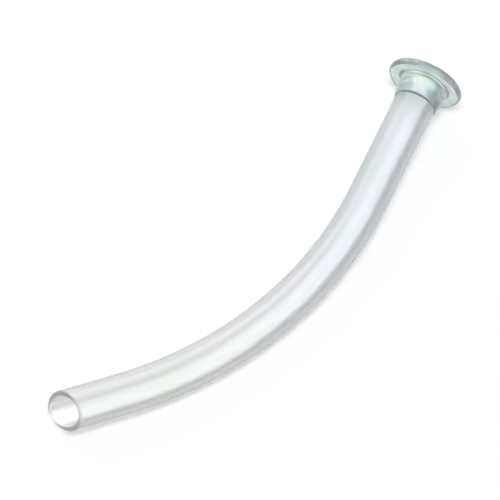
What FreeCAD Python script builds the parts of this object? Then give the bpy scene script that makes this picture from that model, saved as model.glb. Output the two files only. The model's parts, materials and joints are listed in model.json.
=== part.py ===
import FreeCAD, Part
import math
import os

import Sketcher

# Nasopharyngeal airway in clear PVC, lying on its side as it comes to rest.
# An extruded tube bends gently in one plane. Its far end, the tip, is bevelled and
# rounded. Its near end is bonded into the socket of a moulded flange, which has a
# collar on the tube's side and a funnel at its mouth on the other.

# Driving sizes in millimetres and degrees
SIZES = {
    # the tube, from its tip to its seat in the flange
    "bore_diameter": 9.0,
    "tube_wall": 1.5,
    "tip_straight": 21.5,
    "bend_radius": 119.0,
    "bend_angle": 46.1,
    "flange_straight": 39.2,
    # the bevel across the tip, measured from a square cut, and how far the side that
    # it looks to is rolled about the tube towards the outside of the bend
    "bevel_angle": 30.0,
    "bevel_roll": 35.0,
    "tip_outer_round": 0.6,
    "tip_inner_round": 0.4,
    # the plate of the flange
    "flange_diameter": 22.0,
    "flange_thickness": 2.2,
    "rim_crown": 0.6,
    "mouth_funnel": 1.0,
    # the collar and the socket in it
    "seat_depth": 1.4,
    "collar_length": 6.4,
    "collar_wall": 0.75,
    "collar_lip_bevel": 0.35,
    "collar_root_round": 1.6,
    "bond_gap": 0.04,
    # how far a cutting shape reaches past what it cuts
    "cut_margin": 2.0,
}

# Sizes that follow from them, as formulas over the sheet's cells
DERIVED = {
    "bore_radius": "=bore_diameter / 2",
    "tube_radius": "=bore_radius + tube_wall",
    "socket_radius": "=tube_radius + bond_gap",
    "collar_radius": "=socket_radius + collar_wall",
    "flange_radius": "=flange_diameter / 2",
    "face_radius": "=flange_radius - rim_crown",
    "crown_radius": "=(flange_thickness ^ 2 / 4 + rim_crown ^ 2) / (2 * rim_crown)",
    "collar_end": "=flange_thickness + collar_length",
    "bevel_slope": "=tan(bevel_angle * 1deg)",
}

SHEET = "sizes"
ON_LINE = 1e-4


def make_sheet(doc):
    """Put every size in a cell of its own, under its name."""
    sheet = doc.addObject("Spreadsheet::Sheet", SHEET)
    row = 1
    for alias, value in list(SIZES.items()) + list(DERIVED.items()):
        sheet.set(f"A{row}", alias.replace("_", " "))
        sheet.set(f"B{row}", str(value))
        sheet.setAlias(f"B{row}", alias)
        row += 1
    doc.recompute()
    return sheet


def new_body(doc, label):
    """Start a piece whose label is the name of its node."""
    body = doc.addObject("PartDesign::Body", label)
    body.Label = label
    return body


def new_sketch(body, name, plane):
    """Add a sketch on one of the body's own origin planes."""
    sketch = body.newObject("Sketcher::SketchObject", name)
    origin_plane = next(f for f in body.Origin.OriginFeatures if f.Role == plane)
    sketch.AttachmentSupport = (origin_plane, "")
    sketch.MapMode = "FlatFace"
    return sketch


def dimension(sketch, constraint, name, formula):
    """Add a named dimension that takes its value from the sheet."""
    index = sketch.addConstraint(constraint)
    sketch.renameConstraint(index, name)
    sketch.setExpression(f"Constraints.{name}", formula)


def on_sheet(term):
    """Turn a size's name, with or without a minus sign, into a formula and a number."""
    sign = -1 if term.startswith("-") else 1
    alias = term.lstrip("-")
    value = getattr(FreeCAD.ActiveDocument.getObject(SHEET), alias)
    return f"{'-' if sign < 0 else ''}{SHEET}.{alias}", sign * value


def flange_outline(sketch, corners, crowned):
    """Draw a closed outline of straight sides through corners named by their sizes.

    A corner is (radius, height). A height of None is the flange's outer face. A side
    between two corners that share a size is upright or level. The side after the
    corner whose number is crowned is the rim, which bulges outwards in one arc.
    """
    points = []
    for radius, height in corners:
        up = 0.0 if height is None else on_sheet(height)[1]
        points.append(FreeCAD.Vector(on_sheet(radius)[1], up, 0))
    count = len(corners)
    for i in range(count):
        ends = points[i], points[(i + 1) % count]
        if i == crowned:
            middle = (ends[0] + ends[1]) * 0.5
            middle.x += on_sheet("rim_crown")[1]
            sketch.addGeometry(Part.Arc(ends[1], middle, ends[0]), False)
        else:
            sketch.addGeometry(Part.LineSegment(*ends), False)
    # an arc runs against the outline, from its lower end to its upper one
    first = [2 if i == crowned else 1 for i in range(count)]
    for i in range(count):
        after = (i + 1) % count
        joint = Sketcher.Constraint("Coincident", i, 3 - first[i], after, first[after])
        sketch.addConstraint(joint)
    for i, (radius, height) in enumerate(corners):
        before = corners[i - 1]
        straight = i and i - 1 != crowned
        if straight and radius == before[0]:
            sketch.addConstraint(Sketcher.Constraint("Vertical", i - 1))
        else:
            across = Sketcher.Constraint("DistanceX", -1, 1, i, first[i], points[i].x)
            dimension(sketch, across, f"radius_{i}", on_sheet(radius)[0])
        if straight and height == before[1]:
            sketch.addConstraint(Sketcher.Constraint("Horizontal", i - 1))
        elif height is None:
            sketch.addConstraint(Sketcher.Constraint("PointOnObject", i, first[i], -1))
        else:
            along = Sketcher.Constraint("DistanceY", -1, 1, i, first[i], points[i].y)
            dimension(sketch, along, f"height_{i}", on_sheet(height)[0])
    bulge = Sketcher.Constraint("Radius", crowned, on_sheet("crown_radius")[1])
    dimension(sketch, bulge, "crown", on_sheet("crown_radius")[0])


def ease_edges(doc, body, kind, name, edges, size):
    """Round or chamfer the edges of the body's last feature that a test picks out."""
    base = body.Tip
    picked = [f"Edge{i}" for i, e in enumerate(base.Shape.Edges, 1) if edges(e)]
    if not picked:
        raise RuntimeError(f"{name} found no edge")
    eased = body.newObject(f"PartDesign::{kind}", name)
    eased.Base = (base, picked)
    eased.setExpression("Radius" if kind == "Fillet" else "Size", f"{SHEET}.{size}")
    doc.recompute()


def tube_path(body, sheet):
    """Draw the tube's centreline: a straight tip, one long bend and a straight neck."""
    path = new_sketch(body, "centreline", "XY_Plane")
    turn = math.radians(sheet.bend_angle)
    radius = sheet.bend_radius
    start = FreeCAD.Vector(sheet.tip_straight, 0, 0)
    centre = start + FreeCAD.Vector(0, radius, 0)
    bend = Part.ArcOfCircle(
        Part.Circle(centre, FreeCAD.Vector(0, 0, 1), radius), -math.pi / 2, turn - math.pi / 2
    )
    heading = FreeCAD.Vector(math.cos(turn), math.sin(turn), 0)
    neck_end = bend.EndPoint + heading * sheet.flange_straight
    path.addGeometry(Part.LineSegment(FreeCAD.Vector(), start), False)
    path.addGeometry(bend, False)
    path.addGeometry(Part.LineSegment(bend.EndPoint, neck_end), False)
    path.addConstraint(Sketcher.Constraint("Coincident", 0, 1, -1, 1))
    path.addConstraint(Sketcher.Constraint("Horizontal", 0))
    path.addConstraint(Sketcher.Constraint("Tangent", 0, 2, 1, 1))
    path.addConstraint(Sketcher.Constraint("Tangent", 1, 2, 2, 1))
    tip = Sketcher.Constraint("Distance", 0, 1, 0, 2, sheet.tip_straight)
    dimension(path, tip, "tip", f"{SHEET}.tip_straight")
    arc = Sketcher.Constraint("Radius", 1, radius)
    dimension(path, arc, "bend", f"{SHEET}.bend_radius")
    lean = Sketcher.Constraint("Angle", -1, 1, 2, 1, turn)
    dimension(path, lean, "turn", f"{SHEET}.bend_angle * 1deg")
    neck = Sketcher.Constraint("Distance", 2, 1, 2, 2, sheet.flange_straight)
    dimension(path, neck, "neck", f"{SHEET}.flange_straight")
    return path


def tube_section(body, sheet):
    """Draw the tube's ring section across the start of its centreline."""
    section = new_sketch(body, "section", "YZ_Plane")
    for i, size in enumerate(("tube_radius", "bore_radius")):
        radius = getattr(sheet, size)
        section.addGeometry(Part.Circle(FreeCAD.Vector(), FreeCAD.Vector(0, 0, 1), radius), False)
        section.addConstraint(Sketcher.Constraint("Coincident", i, 3, -1, 1))
        dimension(section, Sketcher.Constraint("Radius", i, radius), size, f"{SHEET}.{size}")
    return section


def bevel_outline(body, sheet):
    """Draw the wedge that the bevel removes, seen square to the side that it looks to.

    The bevel's line starts at the point of the tip, on one side of the tube's end, and
    leans back over the bore. The opening looks up and to the outside of the bend.
    """
    wedge = new_sketch(body, "bevel_wedge", "XZ_Plane")
    roll = FreeCAD.Rotation(FreeCAD.Vector(1, 0, 0), sheet.bevel_roll)
    wedge.AttachmentOffset = FreeCAD.Placement(FreeCAD.Vector(), roll)
    wedge.setExpression("AttachmentOffset.Rotation.Angle", f"{SHEET}.bevel_roll * 1deg")
    low = f"{SHEET}.tube_radius + {SHEET}.cut_margin"
    back = f"{SHEET}.cut_margin * {SHEET}.bevel_slope"
    reach = f"(2 * {SHEET}.tube_radius + {SHEET}.cut_margin) * {SHEET}.bevel_slope"
    low_at = sheet.tube_radius + sheet.cut_margin
    back_at = sheet.cut_margin * sheet.bevel_slope
    reach_at = (2 * sheet.tube_radius + sheet.cut_margin) * sheet.bevel_slope
    corners = [
        FreeCAD.Vector(-back_at, -low_at, 0),
        FreeCAD.Vector(reach_at, low_at, 0),
        FreeCAD.Vector(-back_at, low_at, 0),
    ]
    for i in range(3):
        wedge.addGeometry(Part.LineSegment(corners[i], corners[(i + 1) % 3]), False)
    for i in range(3):
        wedge.addConstraint(Sketcher.Constraint("Coincident", i, 2, (i + 1) % 3, 1))
    wedge.addConstraint(Sketcher.Constraint("Horizontal", 1))
    wedge.addConstraint(Sketcher.Constraint("Vertical", 2))
    dimension(wedge, Sketcher.Constraint("DistanceX", 0, 1, -1, 1, back_at), "back", back)
    dimension(wedge, Sketcher.Constraint("DistanceY", 0, 1, -1, 1, low_at), "low", low)
    dimension(wedge, Sketcher.Constraint("DistanceX", -1, 1, 1, 1, reach_at), "reach", reach)
    dimension(wedge, Sketcher.Constraint("DistanceY", -1, 1, 1, 1, low_at), "high", low)
    return wedge


def make_tube(doc, sheet):
    """Sweep the ring along the centreline, cut the bevel and round its two edges.

    The tube's own frame has its origin on the centreline at the tip's square end, +X
    into the tube and +Y towards the inside of the bend.
    """
    body = new_body(doc, "airway_tube")
    path = tube_path(body, sheet)
    section = tube_section(body, sheet)
    doc.recompute()
    sweep = body.newObject("PartDesign::AdditivePipe", "bent_tube")
    sweep.Profile = section
    sweep.Spine = (path, ["Edge1", "Edge2", "Edge3"])
    doc.recompute()

    wedge = bevel_outline(body, sheet)
    whole = sweep.Shape.Volume
    bevel = body.newObject("PartDesign::Pocket", "tip_bevel")
    bevel.Profile = wedge
    bevel.Midplane = True
    bevel.setExpression("Length", f"2 * ({SHEET}.tube_radius + {SHEET}.cut_margin)")
    doc.recompute()
    if bevel.Shape.Volume >= whole:
        raise RuntimeError("the bevel removed nothing from the tip")

    roll = math.radians(sheet.bevel_roll)
    looks_to = FreeCAD.Vector(0, -math.sin(roll), math.cos(roll))

    def on_bevel(radius):
        def test(edge):
            for point in edge.discretize(7):
                back = (point.dot(looks_to) + sheet.tube_radius) * sheet.bevel_slope
                if abs(point.x - back) > ON_LINE:
                    return False
                if abs(math.hypot(point.y, point.z) - radius) > ON_LINE:
                    return False
            return True

        return test

    outer = on_bevel(sheet.tube_radius)
    inner = on_bevel(sheet.bore_radius)
    ease_edges(doc, body, "Fillet", "tip_outer", outer, "tip_outer_round")
    ease_edges(doc, body, "Fillet", "tip_inner", inner, "tip_inner_round")
    return body


def make_flange(doc, sheet):
    """Revolve the flange's section, then shape its collar and mouth as its mould does.

    The flange's own frame has its origin at the centre of the outer face, with +Z out
    of the mouth. The plate, its crowned rim, the collar, the socket and its shoulder
    are one section.
    """
    body = new_body(doc, "flange")
    half = new_sketch(body, "half_section", "XZ_Plane")
    flange_outline(
        half,
        [
            ("socket_radius", "-seat_depth"),
            ("bore_radius", "-seat_depth"),
            ("bore_radius", None),
            ("face_radius", None),
            ("face_radius", "-flange_thickness"),
            ("collar_radius", "-flange_thickness"),
            ("collar_radius", "-collar_end"),
            ("socket_radius", "-collar_end"),
        ],
        crowned=3,
    )
    doc.recompute()
    turned = body.newObject("PartDesign::Revolution", "plate_and_collar")
    turned.Profile = half
    turned.ReferenceAxis = (half, ["V_Axis"])
    turned.Angle = 360
    doc.recompute()

    def ring(radius, height):
        def test(edge):
            curve = edge.Curve
            if not isinstance(curve, Part.Circle) or abs(curve.Radius - radius) > ON_LINE:
                return False
            return abs(curve.Center.z - height) < ON_LINE

        return test

    root = ring(sheet.collar_radius, -sheet.flange_thickness)
    lip = ring(sheet.collar_radius, -sheet.collar_end)
    mouth = ring(sheet.bore_radius, 0)
    ease_edges(doc, body, "Fillet", "collar_root", root, "collar_root_round")
    ease_edges(doc, body, "Chamfer", "collar_lip", lip, "collar_lip_bevel")
    ease_edges(doc, body, "Chamfer", "mouth", mouth, "mouth_funnel")
    return body


def neck_frame(sheet):
    """Place the flange's frame on the tube: mouth along the neck, shoulder on its end."""
    turn = math.radians(sheet.bend_angle)
    out = FreeCAD.Vector(math.cos(turn), math.sin(turn), 0)
    bend_end = FreeCAD.Vector(
        sheet.tip_straight + sheet.bend_radius * math.sin(turn),
        sheet.bend_radius * (1 - math.cos(turn)),
        0,
    )
    face = bend_end + out * (sheet.flange_straight + sheet.seat_depth)
    upright = FreeCAD.Rotation(FreeCAD.Vector(0, 0, 1), out)
    return FreeCAD.Placement(face, upright)


def contacts(sheet, roll, aim):
    """Give where the tube and the flange's rim reach furthest towards the floor.

    The floor's direction is the tube's own downward direction, rolled by roll towards
    the outside of the bend, in the direction aim of the tube's plane.
    """
    outward = FreeCAD.Vector(math.cos(aim), math.sin(aim), 0)
    down = outward * math.sin(roll) - FreeCAD.Vector(0, 0, math.cos(roll))
    bend_centre = FreeCAD.Vector(sheet.tip_straight, sheet.bend_radius, 0)
    on_tube = bend_centre + outward * sheet.bend_radius + down * sheet.tube_radius

    seat = neck_frame(sheet)
    axis = seat.Rotation.multVec(FreeCAD.Vector(0, 0, 1))
    plate_middle = seat.Base - axis * (sheet.flange_thickness / 2)
    across = down - axis * axis.dot(down)
    across.normalize()
    crown_centre = plate_middle + across * (sheet.flange_radius - sheet.crown_radius)
    return down, on_tube, crown_centre + down * sheet.crown_radius


def floor_direction(sheet, weight_centre):
    """Find the way down in the tube's frame when the airway lies at rest.

    Lying down, it touches the floor at one point of the bend and one of the rim. They
    are level, and the centre of its weight is over the line that joins them.
    """

    def faults(roll, aim):
        down, on_tube, on_rim = contacts(sheet, roll, aim)
        line = on_rim - on_tube
        beside = down.cross(line) * (1 / line.Length)
        return line.dot(down), beside.dot(weight_centre - on_tube)

    step = 1e-6
    roll = math.asin((sheet.flange_radius - sheet.tube_radius) / (sheet.bend_radius / 3))
    aim = math.radians(sheet.bend_angle / 2 - 90)
    for _ in range(60):
        height, side = faults(roll, aim)
        height_roll, side_roll = [(b - a) / step for a, b in zip((height, side), faults(roll + step, aim))]
        height_aim, side_aim = [(b - a) / step for a, b in zip((height, side), faults(roll, aim + step))]
        size = height_roll * side_aim - height_aim * side_roll
        roll_by = (height * side_aim - height_aim * side) / size
        aim_by = (height_roll * side - side_roll * height) / size
        roll -= roll_by
        aim -= aim_by
        if abs(roll_by) + abs(aim_by) < 1e-12:
            break
    return contacts(sheet, roll, aim)[0]


def lay_down(doc, sheet, tube, flange):
    """Lay both pieces on the floor, with the middle of their footprint at the origin.

    +Z is up, +X runs level from the tip towards the flange, and +Y is the inside of
    the bend.
    """
    seat = neck_frame(sheet)
    tube_solid = tube.Shape.Solids[0]
    flange_solid = flange.Shape.Solids[0]
    moment = tube_solid.CenterOfMass * tube_solid.Volume
    moment += seat.multVec(flange_solid.CenterOfMass) * flange_solid.Volume
    down = floor_direction(sheet, moment * (1 / (tube_solid.Volume + flange_solid.Volume)))

    up = down * -1
    chord = seat.Base - up * seat.Base.dot(up)
    along = chord.normalize()
    turn = FreeCAD.Rotation(along, up.cross(along), up, "ZXY").inverted()
    lying = FreeCAD.Placement(FreeCAD.Vector(), turn)
    tube.Placement = lying
    flange.Placement = lying * seat
    doc.recompute()

    box = tube.Shape.optimalBoundingBox(False, False)
    box.add(flange.Shape.optimalBoundingBox(False, False))
    shift = FreeCAD.Vector(-box.Center.x, -box.Center.y, -box.ZMin)
    for body in (tube, flange):
        body.Placement.Base = body.Placement.Base + shift
    doc.recompute()


def check(doc, bodies):
    """Stop if any object failed or any piece isn't one sound solid."""
    for item in doc.Objects:
        if "Invalid" in item.State or "Error" in item.State:
            raise RuntimeError(f"{item.Name} did not build: {item.State}")
    for body in bodies:
        shape = body.Shape
        if shape.isNull() or not shape.isValid() or len(shape.Solids) != 1:
            raise RuntimeError(f"{body.Label} isn't one valid solid")


def main():
    doc = FreeCAD.newDocument("nasopharyngeal_airway")
    sheet = make_sheet(doc)
    tube = make_tube(doc, sheet)
    flange = make_flange(doc, sheet)
    lay_down(doc, sheet, tube, flange)
    check(doc, (tube, flange))
    os.makedirs("parts", exist_ok=True)
    for body in (tube, flange):
        body.Shape.exportStep(f"parts/{body.Label}.step")


main()
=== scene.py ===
import json
import math

import bpy
import numpy as np
from bpy.props import FloatProperty, FloatVectorProperty, IntProperty, PointerProperty
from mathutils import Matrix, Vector


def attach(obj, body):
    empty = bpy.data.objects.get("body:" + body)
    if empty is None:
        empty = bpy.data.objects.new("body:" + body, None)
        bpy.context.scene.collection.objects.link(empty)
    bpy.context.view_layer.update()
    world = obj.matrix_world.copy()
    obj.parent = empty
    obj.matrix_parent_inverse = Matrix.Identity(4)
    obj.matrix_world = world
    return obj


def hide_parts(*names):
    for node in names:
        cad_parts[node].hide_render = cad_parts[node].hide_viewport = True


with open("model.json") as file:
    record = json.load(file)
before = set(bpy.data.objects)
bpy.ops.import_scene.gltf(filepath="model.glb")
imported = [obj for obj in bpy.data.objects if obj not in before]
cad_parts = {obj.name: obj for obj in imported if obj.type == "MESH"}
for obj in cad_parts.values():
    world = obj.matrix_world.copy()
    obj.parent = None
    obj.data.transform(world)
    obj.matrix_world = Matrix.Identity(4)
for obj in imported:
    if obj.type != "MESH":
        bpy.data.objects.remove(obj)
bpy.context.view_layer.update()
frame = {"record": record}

bl_info = {
    "name": "Nasopharyngeal Airway",
    "version": (1, 0, 0),
    "blender": (4, 5, 0),
    "location": "3D View > Sidebar > Airway",
    "description": "Builds a clear soft PVC nasopharyngeal airway with a bonded flange, on a white table",
    "category": "Object",
}

MM = 0.001
BODY = "root"

# Faces and small radii of the meshes
ROUND_STEPS = 8
NEAR_TIP_STEPS = 10
RIM_STEPS = 16
LONGEST_SIDE = 0.6 * MM
SEAT_ROUND = 0.02 * MM
TAPER_ROUND = 2.0 * MM
LIP_ROUND = 0.06 * MM
SOCKET_ROUND = 0.04 * MM

# The parts of the tube's section, each with its own material
SKIN, BORE, CUT = range(3)

# Noise scales, in features per metre, and heights of the bumps
LINE_SCALE = 1400.0
HAZE_SCALE = 70.0
TABLE_GRAIN = 400.0
TUBE_BUMP = 0.02 * MM
FLANGE_BUMP = 0.05 * MM
TABLE_DROP = 0.02 * MM


# Places that come from the frame

def mount(name):
    """Give a mount's place, direction and sizes, in metres."""
    found = next(m for m in frame["record"]["mounts"] if m["name"] == name)
    sizes = {key: value * MM for key, value in found["dims"].items()}
    return Vector(found["pos_m"]), Vector(found["axis"]).normalized(), sizes


TIP_MIDDLE, TIP_OUT, TIP_BORE = mount("tip_bore")
NECK_MIDDLE, NECK_OUT, NECK_BORE = mount("airway_bore")
FACE_POINT = mount("outer_face")[0]

BEND_START = TIP_MIDDLE - TIP_OUT * (TIP_BORE["length_mm"] / 2)
BEND_END = NECK_MIDDLE - NECK_OUT * (NECK_BORE["length_mm"] / 2)
BEND_ANGLE = (-TIP_OUT).angle(NECK_OUT)
BEND_RADIUS = (BEND_END - BEND_START).length / (2 * math.sin(BEND_ANGLE / 2))
NECK_TO_FACE = (FACE_POINT - BEND_END).dot(NECK_OUT)
FACE_CENTRE = BEND_END + NECK_OUT * NECK_TO_FACE
PLANE_UP = (-TIP_OUT).cross(NECK_OUT).normalized()


def length_property(name, description, millimetres):
    """Make a length that the sidebar shows in the scene's units."""
    return FloatProperty(
        name=name,
        description=description,
        default=millimetres * MM,
        min=0.0,
        precision=5,
        unit="LENGTH",
        subtype="DISTANCE",
    )


def angle_property(name, description, degrees):
    """Make an angle."""
    return FloatProperty(
        name=name, description=description, default=math.radians(degrees), unit="ROTATION", subtype="ANGLE"
    )


def power_property(name, description, watts):
    """Make a lamp's power."""
    return FloatProperty(name=name, description=description, default=watts, min=0.0, unit="POWER")


def colour_property(name, description, value):
    """Make a colour without alpha."""
    return FloatVectorProperty(
        name=name,
        description=description,
        default=value,
        min=0.0,
        max=1.0,
        size=3,
        subtype="COLOR",
    )


def share_property(name, description, value, high=1.0):
    """Make a plain number."""
    return FloatProperty(name=name, description=description, default=value, min=0.0, max=high, precision=4)


class TubeSettings(bpy.types.PropertyGroup):
    """Sizes of the extruded tube."""

    bore: length_property("Bore", "Inner diameter", NECK_BORE["r_mm"] * 2 / MM)
    wall: length_property("Wall", "Thickness of the tube's wall", 1.5)
    tip_straight: length_property("Tip Length", "Straight length before the bend", 21.5)
    bevel: angle_property("Bevel", "Slant of the tip's cut, from square", 30.0)
    bevel_roll: angle_property("Bevel Roll", "Roll of the cut towards the outside of the bend", 35.0)
    tip_outer_round: length_property("Outer Round", "Radius round the outside of the tip", 0.6)
    tip_inner_round: length_property("Inner Round", "Radius round the inside of the tip", 0.4)
    end_round: length_property("End Round", "Tiny radius on the cut end inside the flange", 0.08)
    around: IntProperty(name="Around", description="Faces around the tube", default=128, min=16)
    step: length_property("Step", "Length of a face along the tube", 1.0)


class FlangeSettings(bpy.types.PropertyGroup):
    """Sizes of the moulded flange."""

    diameter: length_property("Diameter", "Diameter of the plate", 22.0)
    thickness: length_property("Thickness", "Thickness of the plate", 2.2)
    rim_crown: length_property("Rim Crown", "How far the rim bulges", 0.6)
    mouth_funnel: length_property("Mouth Funnel", "Width and depth of the mouth's funnel", 1.0)
    seat_depth: length_property("Seat Depth", "Depth of the shoulder below the outer face", 1.4)
    collar_length: length_property("Collar Length", "How far the collar stands out from the plate", 6.4)
    collar_wall: length_property("Collar Wall", "Thickness of the collar's wall", 0.75)
    collar_lip: length_property("Collar Lip", "How much thinner the collar is at its lip", 0.50)
    collar_taper: length_property("Collar Taper", "Length over which the collar thins out", 3.0)
    collar_root: length_property("Collar Root", "Radius where the collar meets the plate", 1.6)
    bond_gap: length_property("Bond Gap", "Gap between the tube and its socket", 0.04)
    edge_round: length_property("Edge Round", "Tiny radius that the mould leaves on edges", 0.12)
    around: IntProperty(name="Around", description="Faces around the flange", default=192, min=24)


class PvcSettings(bpy.types.PropertyGroup):
    """Colours and finish of the clear PVC."""

    neck_tint: colour_property("Neck Tint", "Colour of the tube near the flange", (0.952, 0.974, 0.996))
    tip_tint: colour_property("Tip Tint", "Colour of the tube near its tip", (0.998, 0.999, 1.000))
    flange_tint: colour_property("Flange Tint", "Colour of the flange", (1.0, 0.992, 1.0))
    flange_shade: colour_property("Flange Shade", "Deeper colour in parts of the flange", (0.66, 0.76, 0.73))
    flange_depth: colour_property(
        "Flange Depth Colour", "Colour that the flange takes on with depth", (0.66, 0.76, 0.73)
    )
    flange_density: share_property("Flange Density", "Absorption of the flange, per metre", 60.0, 2000.0)
    # Painted shade: the flange's colour is darkened where its surface is seen aslant
    flange_aslant_painted_shade: colour_property(
        "Flange Aslant Painted Shade", "Light that passes the flange where it is seen aslant", (0.88, 0.90, 0.91)
    )
    # Painted shade: the tube's colour is darkened where its surface is seen aslant, standing in for its dark
    # refracted edges
    painted_edge_shade: colour_property(
        "Painted Edge Shade", "How much light passes where the surface is seen aslant", (0.596, 0.602, 0.602)
    )
    # Painted shade: the same darkening of the colour where the cut tip is seen aslant
    painted_cut_shade: colour_property("Painted Cut Shade", "The same for the cut tip only", (0.82, 0.82, 0.82))
    edge_start: share_property("Edge Start", "Slant of the surface where the edge shade starts", 0.18)
    edge_full: share_property("Edge Full", "Slant of the surface where the edge shade is full", 0.38)
    ior: FloatProperty(
        name="IOR", description="Index of refraction of soft PVC", default=1.5, min=1.0, max=2.0
    )
    skin_clarity: share_property(
        "Skin Clarity", "Share of light that the tube's outside doesn't scatter", 0.6
    )
    bore_clarity: share_property("Bore Clarity", "Share of light that the bore doesn't scatter", 1.0)
    cut_clarity: share_property("Cut Clarity", "Share of light that the cut tip doesn't scatter", 0.70)
    flange_clarity: share_property("Flange Clarity", "Share of light that the flange doesn't scatter", 0.80)
    tinge: share_property("Tinge", "Strength of the faint green, blue and pink patches", 0.22)
    flange_tinge: share_property("Flange Tinge", "Strength of the same patches in the flange", 1.0)
    # A dark line painted into the colour along the collar's lip, wider on one side
    lip_line_colour: colour_property(
        "Lip Line Colour", "Light that passes the bond at the collar's lip", (0.42, 0.44, 0.50)
    )
    lip_line_width: length_property("Lip Line Width", "Width of the bond's dark line where it is widest", 0.5)
    haze_low: share_property("Clear Haze", "Roughness where the surface is clearest", 0.024)
    haze_high: share_property("Dull Haze", "Roughness where the surface is dullest", 0.056)
    shadow_light: share_property("Shadow Light", "Share of the light that passes a face square to it", 0.931)
    shadow_edge: share_property("Shadow Edge", "Share of the light that passes a face aslant to it", 0.01)


class StageSettings(bpy.types.PropertyGroup):
    """Table, lamps and camera."""

    floor_size: length_property("Floor Size", "Width of the white table", 6000.0)
    floor_colour: colour_property("Floor Colour", "Colour of the table", (0.86, 0.86, 0.86))
    floor_glow: share_property("Floor White", "Light added so that the table shows as white", 0.23)
    picture_width: length_property("Picture Width", "Width of the picture at the airway", 139.86)
    camera_distance: length_property("Camera Distance", "From the aim to the camera", 3500.0)
    camera_azimuth: angle_property("Azimuth", "Direction that the camera looks in, seen from above", -45.9)
    camera_elevation: angle_property("Elevation", "Height of the camera above the horizon", 58.0)
    aim: FloatVectorProperty(
        name="Aim",
        description="Point at the middle of the picture",
        default=(-0.02 * MM, 7.19 * MM, 6.02 * MM),
        size=3,
        unit="LENGTH",
        subtype="TRANSLATION",
    )
    room_light: share_property("Room Light", "Light from the bright side of the room", 0.606, 10.0)
    room_shade: share_property("Room Shade", "Light from the dim side of the room", 0.03, 10.0)
    room_azimuth: angle_property("Room Azimuth", "Bright side of the room, from the picture's right", 90.0)
    lamp_distance: length_property("Lamp Distance", "From the airway to each lamp", 1500.0)
    key_size: length_property("Key Size", "Width of the key lamp", 400.0)
    key_azimuth: angle_property("Key Azimuth", "Side of the key lamp, from the picture's right", -80.0)
    key_elevation: angle_property("Key Elevation", "Height of the key lamp above the horizon", 73.6)
    key_power: power_property("Key Power", "Power of the key lamp", 9.57)
    soft_size: length_property("Soft Size", "Width of the soft lamp", 1680.0)
    soft_azimuth: angle_property("Soft Azimuth", "Side of the soft lamp, from the picture's right", 112.6)
    soft_elevation: angle_property("Soft Elevation", "Height of the soft lamp above the horizon", 22.0)
    soft_power: power_property("Soft Power", "Power of the soft lamp", 17.03)


# Meshes made of rings

def rounded_outline(corners, radii):
    """Round the corners, given as (x, y) points, of a closed outline in the plane."""
    points = []
    count = len(corners)
    for i, (corner, radius) in enumerate(zip(corners, radii)):
        here = Vector(corner)
        before = (Vector(corners[i - 1]) - here).normalized()
        after = (Vector(corners[(i + 1) % count]) - here).normalized()
        if radius <= 0:
            points.append(here)
            continue
        half = before.angle(after) / 2
        reach = radius / math.tan(half)
        centre = here + (before + after).normalized() * (radius / math.sin(half))
        first = (here + before * reach - centre).normalized()
        last = (here + after * reach - centre).normalized()
        for k in range(ROUND_STEPS + 1):
            points.append(centre + first.slerp(last, k / ROUND_STEPS) * radius)
    return points


def ring_mesh(name, rings, straight):
    """Make a closed skin over rings that follow one another round a closed section.

    rings is an array of (rings, points around, 3). straight gives each point's place
    as if the tube were straight, and is kept as an attribute for the finish.
    """
    along, around = rings.shape[:2]
    index = np.arange(along * around).reshape(along, around)
    right = np.roll(index, -1, axis=1)
    quads = np.stack([index, np.roll(index, -1, axis=0), np.roll(right, -1, axis=0), right], axis=-1)
    mesh = bpy.data.meshes.new(name)
    mesh.from_pydata(rings.reshape(-1, 3).tolist(), [], quads.reshape(-1, 4).tolist())
    mesh.update()
    place = mesh.attributes.new("straight", "FLOAT_VECTOR", "POINT")
    place.data.foreach_set("vector", straight.astype(np.float32).ravel())
    mesh.shade_smooth()
    piece = bpy.data.objects.new(name, mesh)
    bpy.context.scene.collection.objects.link(piece)
    return piece


def centreline(tip_straight, distances):
    """Give the centreline's points and their sides towards the inside of the bend.

    The distances, in an array of any shape, run from the lowest point of the tip.
    """
    into = -np.array(TIP_OUT)
    inside = np.cross(PLANE_UP, into)
    past_tip = np.asarray(distances) - tip_straight
    on_bend = np.clip(past_tip, 0.0, BEND_RADIUS * BEND_ANGLE)
    angle = (on_bend / BEND_RADIUS)[..., None]
    sin, cos = np.sin(angle), np.cos(angle)
    points = np.array(BEND_START) + (into * sin + inside * (1 - cos)) * BEND_RADIUS
    points += (into * cos + inside * sin) * (past_tip - on_bend)[..., None]
    return points, inside * cos - into * sin


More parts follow.
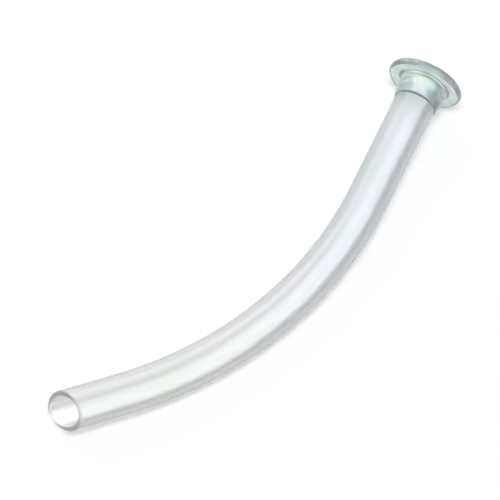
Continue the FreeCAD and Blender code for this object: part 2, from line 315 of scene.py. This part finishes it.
def tube_sections(tube):
    """Give the tube's closed section at each angle, as distances and radii.

    Also give which part each of its points is on: SKIN, BORE or CUT.
    """
    seat = bpy.context.scene.airway_flange.seat_depth
    inner = tube.bore / 2
    outer = inner + tube.wall
    end = tube.tip_straight + BEND_RADIUS * BEND_ANGLE + NECK_TO_FACE - seat
    slope = math.tan(tube.bevel)
    first = 2 * outer * slope + 2 * tube.tip_outer_round
    stations = np.linspace(end - tube.end_round * 2, first, round((end - first) / tube.step))
    sections = []
    for angle in np.linspace(0, 2 * math.pi, tube.around, endpoint=False):
        lean = math.sin(angle - tube.bevel_roll) * slope
        cut = [(outer * slope + radius * lean, radius) for radius in (outer, inner)]
        corners = [(end, outer), cut[0], cut[1], (end, inner)]
        radii = [tube.end_round, tube.tip_outer_round, tube.tip_inner_round, tube.end_round]
        rounds = rounded_outline(corners, radii)
        count = ROUND_STEPS + 1
        end_outer, tip_outer, tip_inner, end_inner = (
            rounds[i * count:(i + 1) * count] for i in range(4)
        )
        out_run = [(s, outer) for s in stations]
        out_run += [(s, outer) for s in np.linspace(first, tip_outer[0].x, NEAR_TIP_STEPS)[1:-1]]
        in_run = [(s, inner) for s in np.linspace(tip_inner[-1].x, first, NEAR_TIP_STEPS)[1:-1]]
        in_run += [(s, inner) for s in stations[::-1]]
        section = [tuple(p) for p in end_outer] + out_run + [tuple(p) for p in tip_outer]
        section += [tuple(p) for p in tip_inner] + in_run + [tuple(p) for p in end_inner]
        sections.append(section)
    skin = count + len(out_run)
    cut = 2 * count - 1
    finish = np.full(len(section), BORE)
    finish[:skin] = SKIN
    finish[skin:skin + cut] = CUT
    return np.array(sections).transpose(1, 0, 2), finish


def build_tube(tube):
    """Sweep the sections along the centreline."""
    sections, finish = tube_sections(tube)
    distance, radius = sections[..., 0], sections[..., 1]
    angle = np.linspace(0, 2 * math.pi, tube.around, endpoint=False)
    aside, above = radius * np.cos(angle), radius * np.sin(angle)
    points, side = centreline(tube.tip_straight, distance)
    rings = points + side * aside[..., None] + np.array(PLANE_UP) * above[..., None]
    piece = ring_mesh("soft_tube", rings, np.stack([aside, above, distance], axis=-1))
    slots = np.repeat(finish, tube.around).astype(np.int32)
    piece.data.polygons.foreach_set("material_index", slots)
    return piece


def flange_section(flange, tube):
    """Give the flange's section as radii and heights, with the outer face at 0."""
    bore = tube.bore / 2
    socket = bore + tube.wall + flange.bond_gap
    collar = socket + flange.collar_wall
    rim = flange.diameter / 2
    face = rim - flange.rim_crown
    back = -flange.thickness
    end = back - flange.collar_length
    lip = flange.collar_lip
    small = flange.edge_round
    corners = [
        (socket, -flange.seat_depth),
        (bore, -flange.seat_depth),
        (bore, -flange.mouth_funnel),
        (bore + flange.mouth_funnel, 0.0),
        (face, 0.0),
    ]
    radii = [0.0, SEAT_ROUND, small, small, small]
    bulge = (flange.thickness ** 2 / 4 + flange.rim_crown ** 2) / (2 * flange.rim_crown)
    half = math.asin(flange.thickness / 2 / bulge)
    for angle in np.linspace(half, -half, RIM_STEPS + 1)[1:-1]:
        corners.append((rim - bulge + bulge * math.cos(angle), back / 2 + bulge * math.sin(angle)))
        radii.append(0.0)
    corners += [
        (face, back),
        (collar, back),
        (collar, end + flange.collar_taper),
        (collar - lip, end),
        (socket, end),
    ]
    radii += [small, flange.collar_root, TAPER_ROUND, LIP_ROUND, SOCKET_ROUND]
    return rounded_outline(corners, radii)


def densify(outline, longest):
    """Add points to the long sides of a closed outline."""
    dense = []
    for i, here in enumerate(outline):
        after = outline[(i + 1) % len(outline)]
        parts = max(1, math.ceil((after - here).length / longest))
        dense += [here.lerp(after, k / parts) for k in range(parts)]
    return dense


def build_flange(flange, tube):
    """Revolve the section about the neck's axis."""
    section = np.array(densify(flange_section(flange, tube), LONGEST_SIDE))
    radius, height = section[:, :1], section[:, 1:]
    angle = np.linspace(0, 2 * math.pi, flange.around, endpoint=False)
    aside, above = radius * np.cos(angle), radius * np.sin(angle)
    height = np.broadcast_to(height, aside.shape)
    side = np.cross(PLANE_UP, NECK_OUT)
    rings = np.array(FACE_CENTRE) + side * aside[..., None]
    rings += np.array(PLANE_UP) * above[..., None] + np.array(NECK_OUT) * height[..., None]
    return ring_mesh("moulded_flange", rings, np.stack([aside, above, height], axis=-1))


# Finishes

def new_group(name, inputs, outputs):
    """Start a shader node group with named sockets."""
    tree = bpy.data.node_groups.new(name, "ShaderNodeTree")
    for socket, kind, value in inputs:
        made = tree.interface.new_socket(name=socket, in_out="INPUT", socket_type=kind)
        if value is not None:
            made.default_value = value
    for socket, kind in outputs:
        tree.interface.new_socket(name=socket, in_out="OUTPUT", socket_type=kind)
    return tree, tree.nodes.new("NodeGroupInput"), tree.nodes.new("NodeGroupOutput")


def add(tree, kind, settings=None, **links):
    """Add a node. links gives its inputs by name, as a value or another node's output."""
    node = tree.nodes.new(kind)
    for key, value in (settings or {}).items():
        setattr(node, key, value)
    for key, value in links.items():
        socket = node.inputs[int(key[1:])] if key[0] == "i" and key[1:].isdigit() else node.inputs[key]
        if isinstance(value, bpy.types.NodeSocket):
            tree.links.new(value, socket)
        else:
            socket.default_value = value
    return node


def noise(tree, place, scale, detail, roughness):
    """Add a noise pattern and give its value."""
    node = add(
        tree, "ShaderNodeTexNoise", Vector=place, Scale=scale, Detail=detail, Roughness=roughness
    )
    return node.outputs[0]


def maths(tree, operation, *values):
    """Add a maths node over one to three values and give its result."""
    inputs = {f"i{i}": value for i, value in enumerate(values)}
    return add(tree, "ShaderNodeMath", {"operation": operation}, **inputs).outputs[0]


def ease(tree, value, low, high, first, last):
    """Go softly from first to last while the value goes from low to high."""
    node = add(
        tree,
        "ShaderNodeMapRange",
        {"interpolation_type": "SMOOTHSTEP"},
        i0=value,
        i1=low,
        i2=high,
        i3=first,
        i4=last,
    )
    return node.outputs[0]


def mix(tree, share, first, second, blend="MIX"):
    """Mix two colours and give the result."""
    settings = {"data_type": "RGBA", "blend_type": blend}
    return add(tree, "ShaderNodeMix", settings, i0=share, i6=first, i7=second).outputs[2]


def soft_pvc_surface():
    """Faint lines of the die or mould, soft waves, and patches of haze."""
    tree, given, result = new_group(
        "soft_pvc_surface",
        [
            ("Place", "NodeSocketVector", None),
            ("Line Stretch", "NodeSocketFloat", 0.02),
            ("Line Height", "NodeSocketFloat", 0.4),
            ("Wave Size", "NodeSocketFloat", 120.0),
            ("Clear Haze", "NodeSocketFloat", 0.03),
            ("Dull Haze", "NodeSocketFloat", 0.10),
        ],
        [("Height", "NodeSocketFloat"), ("Haze", "NodeSocketFloat")],
    )
    place = given.outputs["Place"]
    stretch = add(tree, "ShaderNodeCombineXYZ", i0=1.0, i1=1.0, i2=given.outputs["Line Stretch"])
    stretched = add(
        tree, "ShaderNodeVectorMath", {"operation": "MULTIPLY"}, i0=place, i1=stretch.outputs[0]
    )
    lines = noise(tree, stretched.outputs[0], LINE_SCALE, 2.0, 0.5)
    waves = noise(tree, place, given.outputs["Wave Size"], 1.0, 0.4)
    lined = maths(tree, "MULTIPLY", lines, given.outputs["Line Height"])
    height = maths(tree, "ADD", lined, waves)
    patches = noise(tree, place, HAZE_SCALE, 4.0, 0.6)
    haze = ease(tree, patches, 0.35, 0.75, given.outputs["Clear Haze"], given.outputs["Dull Haze"])
    tree.links.new(height, result.inputs["Height"])
    tree.links.new(haze, result.inputs["Haze"])
    return tree


def tint_patches():
    """Two tints of the same plastic, in soft patches round a given balance."""
    tree, given, result = new_group(
        "tint_patches",
        [
            ("Place", "NodeSocketVector", None),
            ("Balance", "NodeSocketFloat", 0.5),
            ("Patch Size", "NodeSocketFloat", 60.0),
            ("Patch Share", "NodeSocketFloat", 0.3),
            ("First Tint", "NodeSocketColor", None),
            ("Second Tint", "NodeSocketColor", None),
        ],
        [("Tint", "NodeSocketColor")],
    )
    patches = noise(tree, given.outputs["Place"], given.outputs["Patch Size"], 2.0, 0.5)
    centred = maths(tree, "SUBTRACT", patches, 0.5)
    share = maths(
        tree, "MULTIPLY_ADD", centred, given.outputs["Patch Share"], given.outputs["Balance"]
    )
    tint = mix(tree, share, given.outputs["First Tint"], given.outputs["Second Tint"])
    tree.links.new(tint, result.inputs["Tint"])
    return tree


def tinge():
    """Faint green, blue and pink patches over a given tint."""
    tree, given, result = new_group(
        "tinge",
        [
            ("Place", "NodeSocketVector", None),
            ("Patch Size", "NodeSocketFloat", 42.0),
            ("Strength", "NodeSocketFloat", 0.6),
            ("Tint", "NodeSocketColor", None),
        ],
        [("Tint", "NodeSocketColor")],
    )
    patches = noise(tree, given.outputs["Place"], given.outputs["Patch Size"], 1.0, 0.4)
    ramp = tree.nodes.new("ShaderNodeValToRGB")
    stops = (
        (0.34, (0.860, 0.960, 0.860, 1.0)),
        (0.44, (0.960, 0.990, 0.970, 1.0)),
        (0.52, (0.930, 0.965, 1.000, 1.0)),
        (0.60, (1.000, 1.000, 1.000, 1.0)),
        (0.68, (0.990, 0.930, 0.990, 1.0)),
    )
    while len(ramp.color_ramp.elements) < len(stops):
        ramp.color_ramp.elements.new(0.5)
    for element, (position, colour) in zip(ramp.color_ramp.elements, stops):
        element.position = position
        element.color = colour
    tree.links.new(patches, ramp.inputs[0])
    tinged = mix(
        tree, given.outputs["Strength"], given.outputs["Tint"], ramp.outputs[0], "MULTIPLY"
    )
    tree.links.new(tinged, result.inputs["Tint"])
    return tree


def lip_dark_line():
    """A dark line at a lip, wider on one side, that fades out on the other.

    Place is in the piece's own frame, with its third part along the axis. Lip is that
    part's value at the lip, and Width how far the line reaches back from it.
    """
    tree, given, result = new_group(
        "lip_dark_line",
        [
            ("Place", "NodeSocketVector", None),
            ("Lip", "NodeSocketFloat", 0.0),
            ("Width", "NodeSocketFloat", 0.001),
            ("Widest", "NodeSocketVector", None),
            ("Tint", "NodeSocketColor", None),
            ("Shade", "NodeSocketColor", None),
        ],
        [("Tint", "NodeSocketColor")],
    )
    split = add(tree, "ShaderNodeSeparateXYZ", i0=given.outputs["Place"])
    flat = add(tree, "ShaderNodeCombineXYZ", i0=split.outputs[0], i1=split.outputs[1])
    across = add(tree, "ShaderNodeVectorMath", {"operation": "NORMALIZE"}, i0=flat.outputs[0])
    side = add(
        tree,
        "ShaderNodeVectorMath",
        {"operation": "DOT_PRODUCT"},
        i0=across.outputs[0],
        i1=given.outputs["Widest"],
    )
    thinnest, fade = 0.08, 0.4
    share = ease(tree, side.outputs["Value"], 0.60, 0.97, thinnest, 1.0)
    reach = maths(tree, "MULTIPLY", share, given.outputs["Width"])
    inner = maths(tree, "ADD", given.outputs["Lip"], reach)
    faded = maths(tree, "MULTIPLY_ADD", reach, fade, inner)
    line = ease(tree, split.outputs[2], inner, faded, 1.0, 0.0)
    tint = mix(tree, line, given.outputs["Tint"], given.outputs["Shade"], "MULTIPLY")
    tree.links.new(tint, result.inputs["Tint"])
    return tree


GROUPS = {}


def use_group(tree, name, **links):
    """Place a node group and set its inputs, whose names are given with underscores."""
    node = tree.nodes.new("ShaderNodeGroup")
    node.node_tree = GROUPS[name]
    for key, value in links.items():
        socket = node.inputs[key.replace("_", " ")]
        if isinstance(value, bpy.types.NodeSocket):
            tree.links.new(value, socket)
        else:
            socket.default_value = value
    return node


def clear_pvc(name, pvc, clarity, painted_edge_shade, tint, surface, bump_distance):
    """Make clear soft PVC. Light from the lamps passes it, so that its shadow is pale. Its colour gets
    painted shade where the surface is seen aslant.

    tint and surface each get the node tree and the straightened place, and give the
    colour and the node for the height and haze.
    """
    material = bpy.data.materials.new(name)
    material.use_nodes = True
    tree = material.node_tree
    tree.nodes.clear()
    place = add(tree, "ShaderNodeAttribute", {"attribute_name": "straight"}).outputs["Vector"]
    own_tint = tint(tree, place)
    surface_node = surface(tree, place)
    height = surface_node.outputs["Height"]
    bump = add(tree, "ShaderNodeBump", Strength=1.0, Distance=bump_distance, Height=height)
    plastic = add(
        tree,
        "ShaderNodeBsdfPrincipled",
        Metallic=0.0,
        IOR=pvc.ior,
        Roughness=surface_node.outputs["Haze"],
        Normal=bump.outputs[0],
    )
    plastic.inputs["Transmission Weight"].default_value = clarity
    # Painted shade: the base colour is darkened where the camera sees the surface aslant, standing in for
    # the dark edges of clear plastic
    slant = add(tree, "ShaderNodeLayerWeight", Blend=0.5)
    edge = ease(tree, slant.outputs["Facing"], pvc.edge_start, pvc.edge_full, 0.0, 1.0)
    shaded = mix(tree, edge, own_tint, (*painted_edge_shade, 1.0), "MULTIPLY")
    tree.links.new(shaded, plastic.inputs["Base Color"])
    square_on = (*[pvc.shadow_light] * 3, 1.0)
    aslant = (*[pvc.shadow_edge] * 3, 1.0)
    through = add(tree, "ShaderNodeBsdfTransparent", Color=mix(tree, edge, square_on, aslant))
    path = add(tree, "ShaderNodeLightPath")
    either = add(
        tree,
        "ShaderNodeMixShader",
        i0=path.outputs["Is Shadow Ray"],
        i1=plastic.outputs[0],
        i2=through.outputs[0],
    )
    output = tree.nodes.new("ShaderNodeOutputMaterial")
    tree.links.new(either.outputs[0], output.inputs["Surface"])
    return material


def tube_finish(name, pvc, clarity, shade, tube):
    """Make the tube's PVC, bluer towards the flange and neutral towards the tip."""
    length = tube.tip_straight + BEND_RADIUS * BEND_ANGLE + NECK_TO_FACE

    def tint(tree, place):
        split = add(tree, "ShaderNodeSeparateXYZ", i0=place)
        two = use_group(
            tree,
            "tint_patches",
            Place=place,
            Balance=ease(tree, split.outputs[2], 0.25 * length, 0.75 * length, 0.0, 1.0),
            Patch_Size=45.0,
            Patch_Share=0.6,
            First_Tint=(*pvc.tip_tint, 1.0),
            Second_Tint=(*pvc.neck_tint, 1.0),
        )
        tinged = use_group(
            tree,
            "tinge",
            Place=place,
            Patch_Size=42.0,
            Strength=pvc.tinge,
            Tint=two.outputs["Tint"],
        )
        return tinged.outputs["Tint"]

    def surface(tree, place):
        return use_group(
            tree,
            "soft_pvc_surface",
            Place=place,
            Line_Stretch=0.015,
            Line_Height=0.25,
            Wave_Size=110.0,
            Clear_Haze=pvc.haze_low,
            Dull_Haze=pvc.haze_high,
        )

    return clear_pvc(name, pvc, clarity, shade, tint, surface, TUBE_BUMP)


def flange_finish(pvc, flange):
    """Make the flange's PVC, greener and deeper in places."""
    lip = -flange.thickness - flange.collar_length

    def tint(tree, place):
        two = use_group(
            tree,
            "tint_patches",
            Place=place,
            Balance=0.45,
            Patch_Size=230.0,
            Patch_Share=5.0,
            First_Tint=(*pvc.flange_tint, 1.0),
            Second_Tint=(*pvc.flange_shade, 1.0),
        )
        tinged = use_group(
            tree,
            "tinge",
            Place=place,
            Patch_Size=95.0,
            Strength=pvc.flange_tinge,
            Tint=two.outputs["Tint"],
        )
        # Darken the colour in a line along the collar's lip, widest on one side
        bond = use_group(
            tree,
            "lip_dark_line",
            Place=place,
            Lip=lip,
            Width=pvc.lip_line_width,
            Widest=(0.05, 1.0, 0.0),
            Tint=tinged.outputs["Tint"],
            Shade=(*pvc.lip_line_colour, 1.0),
        )
        return bond.outputs["Tint"]

    def surface(tree, place):
        return use_group(
            tree,
            "soft_pvc_surface",
            Place=place,
            Line_Stretch=0.3,
            Line_Height=0.15,
            Wave_Size=160.0,
            Clear_Haze=0.06,
            Dull_Haze=0.14,
        )

    # the flange's colour gets its painted shade where its surface is seen aslant
    material = clear_pvc(
        "moulded_clear_pvc", pvc, pvc.flange_clarity, pvc.flange_aslant_painted_shade, tint, surface, FLANGE_BUMP
    )
    tree = material.node_tree
    inside = add(
        tree, "ShaderNodeVolumeAbsorption", Color=(*pvc.flange_depth, 1.0), Density=pvc.flange_density
    )
    tree.links.new(inside.outputs[0], tree.nodes["Material Output"].inputs["Volume"])
    return material


# The stage

def floor_finish(stage):
    """Make the white table. What looks at it sees white, and it keeps the shadow."""
    material = bpy.data.materials.new("white_table")
    material.use_nodes = True
    tree = material.node_tree
    tree.nodes.clear()
    place = add(tree, "ShaderNodeTexCoord").outputs["Object"]
    grain = noise(tree, place, TABLE_GRAIN, 3.0, 0.5)
    dull = [c * 0.995 for c in stage.floor_colour]
    shade = mix(tree, grain, (*dull, 1.0), (*stage.floor_colour, 1.0))
    board = add(tree, "ShaderNodeBsdfDiffuse", Color=shade)
    path = add(tree, "ShaderNodeLightPath")
    looked_at = maths(tree, "MAXIMUM", path.outputs["Is Camera Ray"], path.outputs["Is Glossy Ray"])
    seen = maths(tree, "MAXIMUM", looked_at, path.outputs["Is Transmission Ray"])
    strength = maths(tree, "MULTIPLY", seen, stage.floor_glow)
    glow = add(tree, "ShaderNodeEmission", Color=(1.0, 1.0, 1.0, 1.0), Strength=strength)
    both = add(tree, "ShaderNodeAddShader", i0=board.outputs[0], i1=glow.outputs[0])
    output = tree.nodes.new("ShaderNodeOutputMaterial")
    tree.links.new(both.outputs[0], output.inputs["Surface"])
    return material


def build_floor(stage):
    """Lay the table's top at the height that the airway lies on."""
    half = stage.floor_size / 2
    mesh = bpy.data.meshes.new("table_top")
    corners = [(-half, -half, 0), (half, -half, 0), (half, half, 0), (-half, half, 0)]
    mesh.from_pydata(corners, [], [(0, 1, 2, 3)])
    floor = bpy.data.objects.new("table_top", mesh)
    floor.location.z = -TABLE_DROP
    mesh.materials.append(floor_finish(stage))
    bpy.context.scene.collection.objects.link(floor)


def build_world(stage):
    """Light the room from one side more than the other, and show white past the table."""
    world = bpy.data.worlds.new("studio")
    bpy.context.scene.world = world
    world.use_nodes = True
    tree = world.node_tree
    tree.nodes.clear()
    right, level = camera_axes(stage)
    bright = right * math.cos(stage.room_azimuth) + level * math.sin(stage.room_azimuth)
    way = add(tree, "ShaderNodeTexCoord").outputs["Generated"]
    side = add(tree, "ShaderNodeVectorMath", {"operation": "DOT_PRODUCT"}, i0=way, i1=bright)
    room = add(
        tree,
        "ShaderNodeMapRange",
        i0=side.outputs["Value"],
        i1=-1.0,
        i2=1.0,
        i3=stage.room_shade,
        i4=stage.room_light,
    )
    path = add(tree, "ShaderNodeLightPath")
    strength = add(
        tree, "ShaderNodeMapRange", i0=path.outputs["Is Camera Ray"], i3=room.outputs[0], i4=1.0
    )
    light = add(tree, "ShaderNodeBackground", Color=(1.0, 1.0, 1.0, 1.0), Strength=strength.outputs[0])
    output = tree.nodes.new("ShaderNodeOutputWorld")
    tree.links.new(light.outputs[0], output.inputs["Surface"])


def look_at(thing, place, target):
    """Place a lamp or camera so that it points at the target."""
    thing.location = place
    thing.rotation_euler = (target - place).to_track_quat("-Z", "Y").to_euler()


def camera_axes(stage):
    """Give the picture's right and the level direction that the camera looks in."""
    azimuth = stage.camera_azimuth
    right = Vector((math.cos(azimuth), math.sin(azimuth), 0))
    level = Vector((-math.sin(azimuth), math.cos(azimuth), 0))
    return right, level


def build_lamp(stage, name, size, azimuth, elevation, power):
    """Hang a square lamp that points at the airway. The azimuth starts at the picture's right."""
    right, level = camera_axes(stage)
    aim = Vector(stage.aim)
    ground = right * math.cos(azimuth) + level * math.sin(azimuth)
    towards = ground * math.cos(elevation) + Vector((0, 0, math.sin(elevation)))
    light = bpy.data.lights.new(name, "AREA")
    light.shape = "SQUARE"
    light.size = size
    light.energy = power
    lamp = bpy.data.objects.new(name, light)
    look_at(lamp, aim + towards * stage.lamp_distance, aim)
    bpy.context.scene.collection.objects.link(lamp)
    return lamp


def build_lamps(stage):
    """Hang a key lamp that casts the shadow, and a wide soft one that only fills and glosses."""
    key = build_lamp(
        stage, "key_lamp", stage.key_size, stage.key_azimuth, stage.key_elevation, stage.key_power
    )
    key.visible_glossy = False
    soft = build_lamp(
        stage, "soft_lamp", stage.soft_size, stage.soft_azimuth, stage.soft_elevation, stage.soft_power
    )
    soft.data.use_shadow = False


def build_camera(stage):
    """Set the long lens that takes the picture."""
    right, level = camera_axes(stage)
    aim = Vector(stage.aim)
    elevation = stage.camera_elevation
    back = -level * math.cos(elevation) + Vector((0, 0, math.sin(elevation)))
    lens = bpy.data.cameras.new("camera")
    lens.lens = lens.sensor_width * stage.camera_distance / stage.picture_width
    lens.clip_end = 4 * stage.camera_distance
    camera = bpy.data.objects.new("camera", lens)
    look_at(camera, aim + back * stage.camera_distance, aim)
    bpy.context.scene.collection.objects.link(camera)
    bpy.context.scene.camera = camera


# Operators, panel and registration

class AIRWAY_OT_tube(bpy.types.Operator):
    """Build the bent tube with its bevelled and rounded tip"""

    bl_idname = "airway.tube"
    bl_label = "Build Tube"

    def execute(self, context):
        scene = context.scene
        pvc, tube = scene.airway_pvc, scene.airway_tube
        piece = build_tube(tube)
        # in the order of SKIN, BORE and CUT, each with its clarity and the painted shade for its aslant
        # edges
        for name, clarity, shade in (
            ("tube_skin", pvc.skin_clarity, pvc.painted_edge_shade),
            ("tube_bore", pvc.bore_clarity, pvc.painted_edge_shade),
            ("tube_cut", pvc.cut_clarity, pvc.painted_cut_shade),
        ):
            piece.data.materials.append(tube_finish(name, pvc, clarity, shade, tube))
        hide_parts("airway_tube")
        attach(piece, BODY)
        return {"FINISHED"}


class AIRWAY_OT_flange(bpy.types.Operator):
    """Build the moulded flange with its collar"""

    bl_idname = "airway.flange"
    bl_label = "Build Flange"

    def execute(self, context):
        scene = context.scene
        piece = build_flange(scene.airway_flange, scene.airway_tube)
        piece.data.materials.append(flange_finish(scene.airway_pvc, scene.airway_flange))
        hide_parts("flange")
        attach(piece, BODY)
        return {"FINISHED"}


class AIRWAY_OT_stage(bpy.types.Operator):
    """Lay the white table and set the lamps and the camera"""

    bl_idname = "airway.stage"
    bl_label = "Build Stage"

    def execute(self, context):
        stage = context.scene.airway_stage
        build_floor(stage)
        build_world(stage)
        build_lamps(stage)
        build_camera(stage)
        context.scene.view_settings.view_transform = "Standard"
        return {"FINISHED"}


class AIRWAY_PT_panel(bpy.types.Panel):
    """Panel that lists the airway's settings and steps"""

    bl_label = "Nasopharyngeal Airway"
    bl_idname = "AIRWAY_PT_panel"
    bl_space_type = "VIEW_3D"
    bl_region_type = "UI"
    bl_category = "Airway"

    def draw(self, context):
        for name, operator in STEPS:
            box = self.layout.box()
            settings = getattr(context.scene, name)
            for key in settings.bl_rna.properties.keys():
                if key not in ("rna_type", "name"):
                    box.prop(settings, key)
            if operator:
                box.operator(operator)


STEPS = (
    ("airway_pvc", None),
    ("airway_tube", "airway.tube"),
    ("airway_flange", "airway.flange"),
    ("airway_stage", "airway.stage"),
)

SETTINGS = {
    "airway_pvc": PvcSettings,
    "airway_tube": TubeSettings,
    "airway_flange": FlangeSettings,
    "airway_stage": StageSettings,
}

CLASSES = (*SETTINGS.values(), AIRWAY_OT_tube, AIRWAY_OT_flange, AIRWAY_OT_stage, AIRWAY_PT_panel)


def register():
    for item in CLASSES:
        bpy.utils.register_class(item)
    for name, group in SETTINGS.items():
        setattr(bpy.types.Scene, name, PointerProperty(type=group))


def unregister():
    for name in SETTINGS:
        delattr(bpy.types.Scene, name)
    for item in reversed(CLASSES):
        bpy.utils.unregister_class(item)


def main():
    register()
    for build in (soft_pvc_surface, tint_patches, tinge, lip_dark_line):
        GROUPS[build.__name__] = build()
    bpy.ops.airway.tube()
    bpy.ops.airway.flange()
    bpy.ops.airway.stage()


if __name__ == "__main__":
    main()
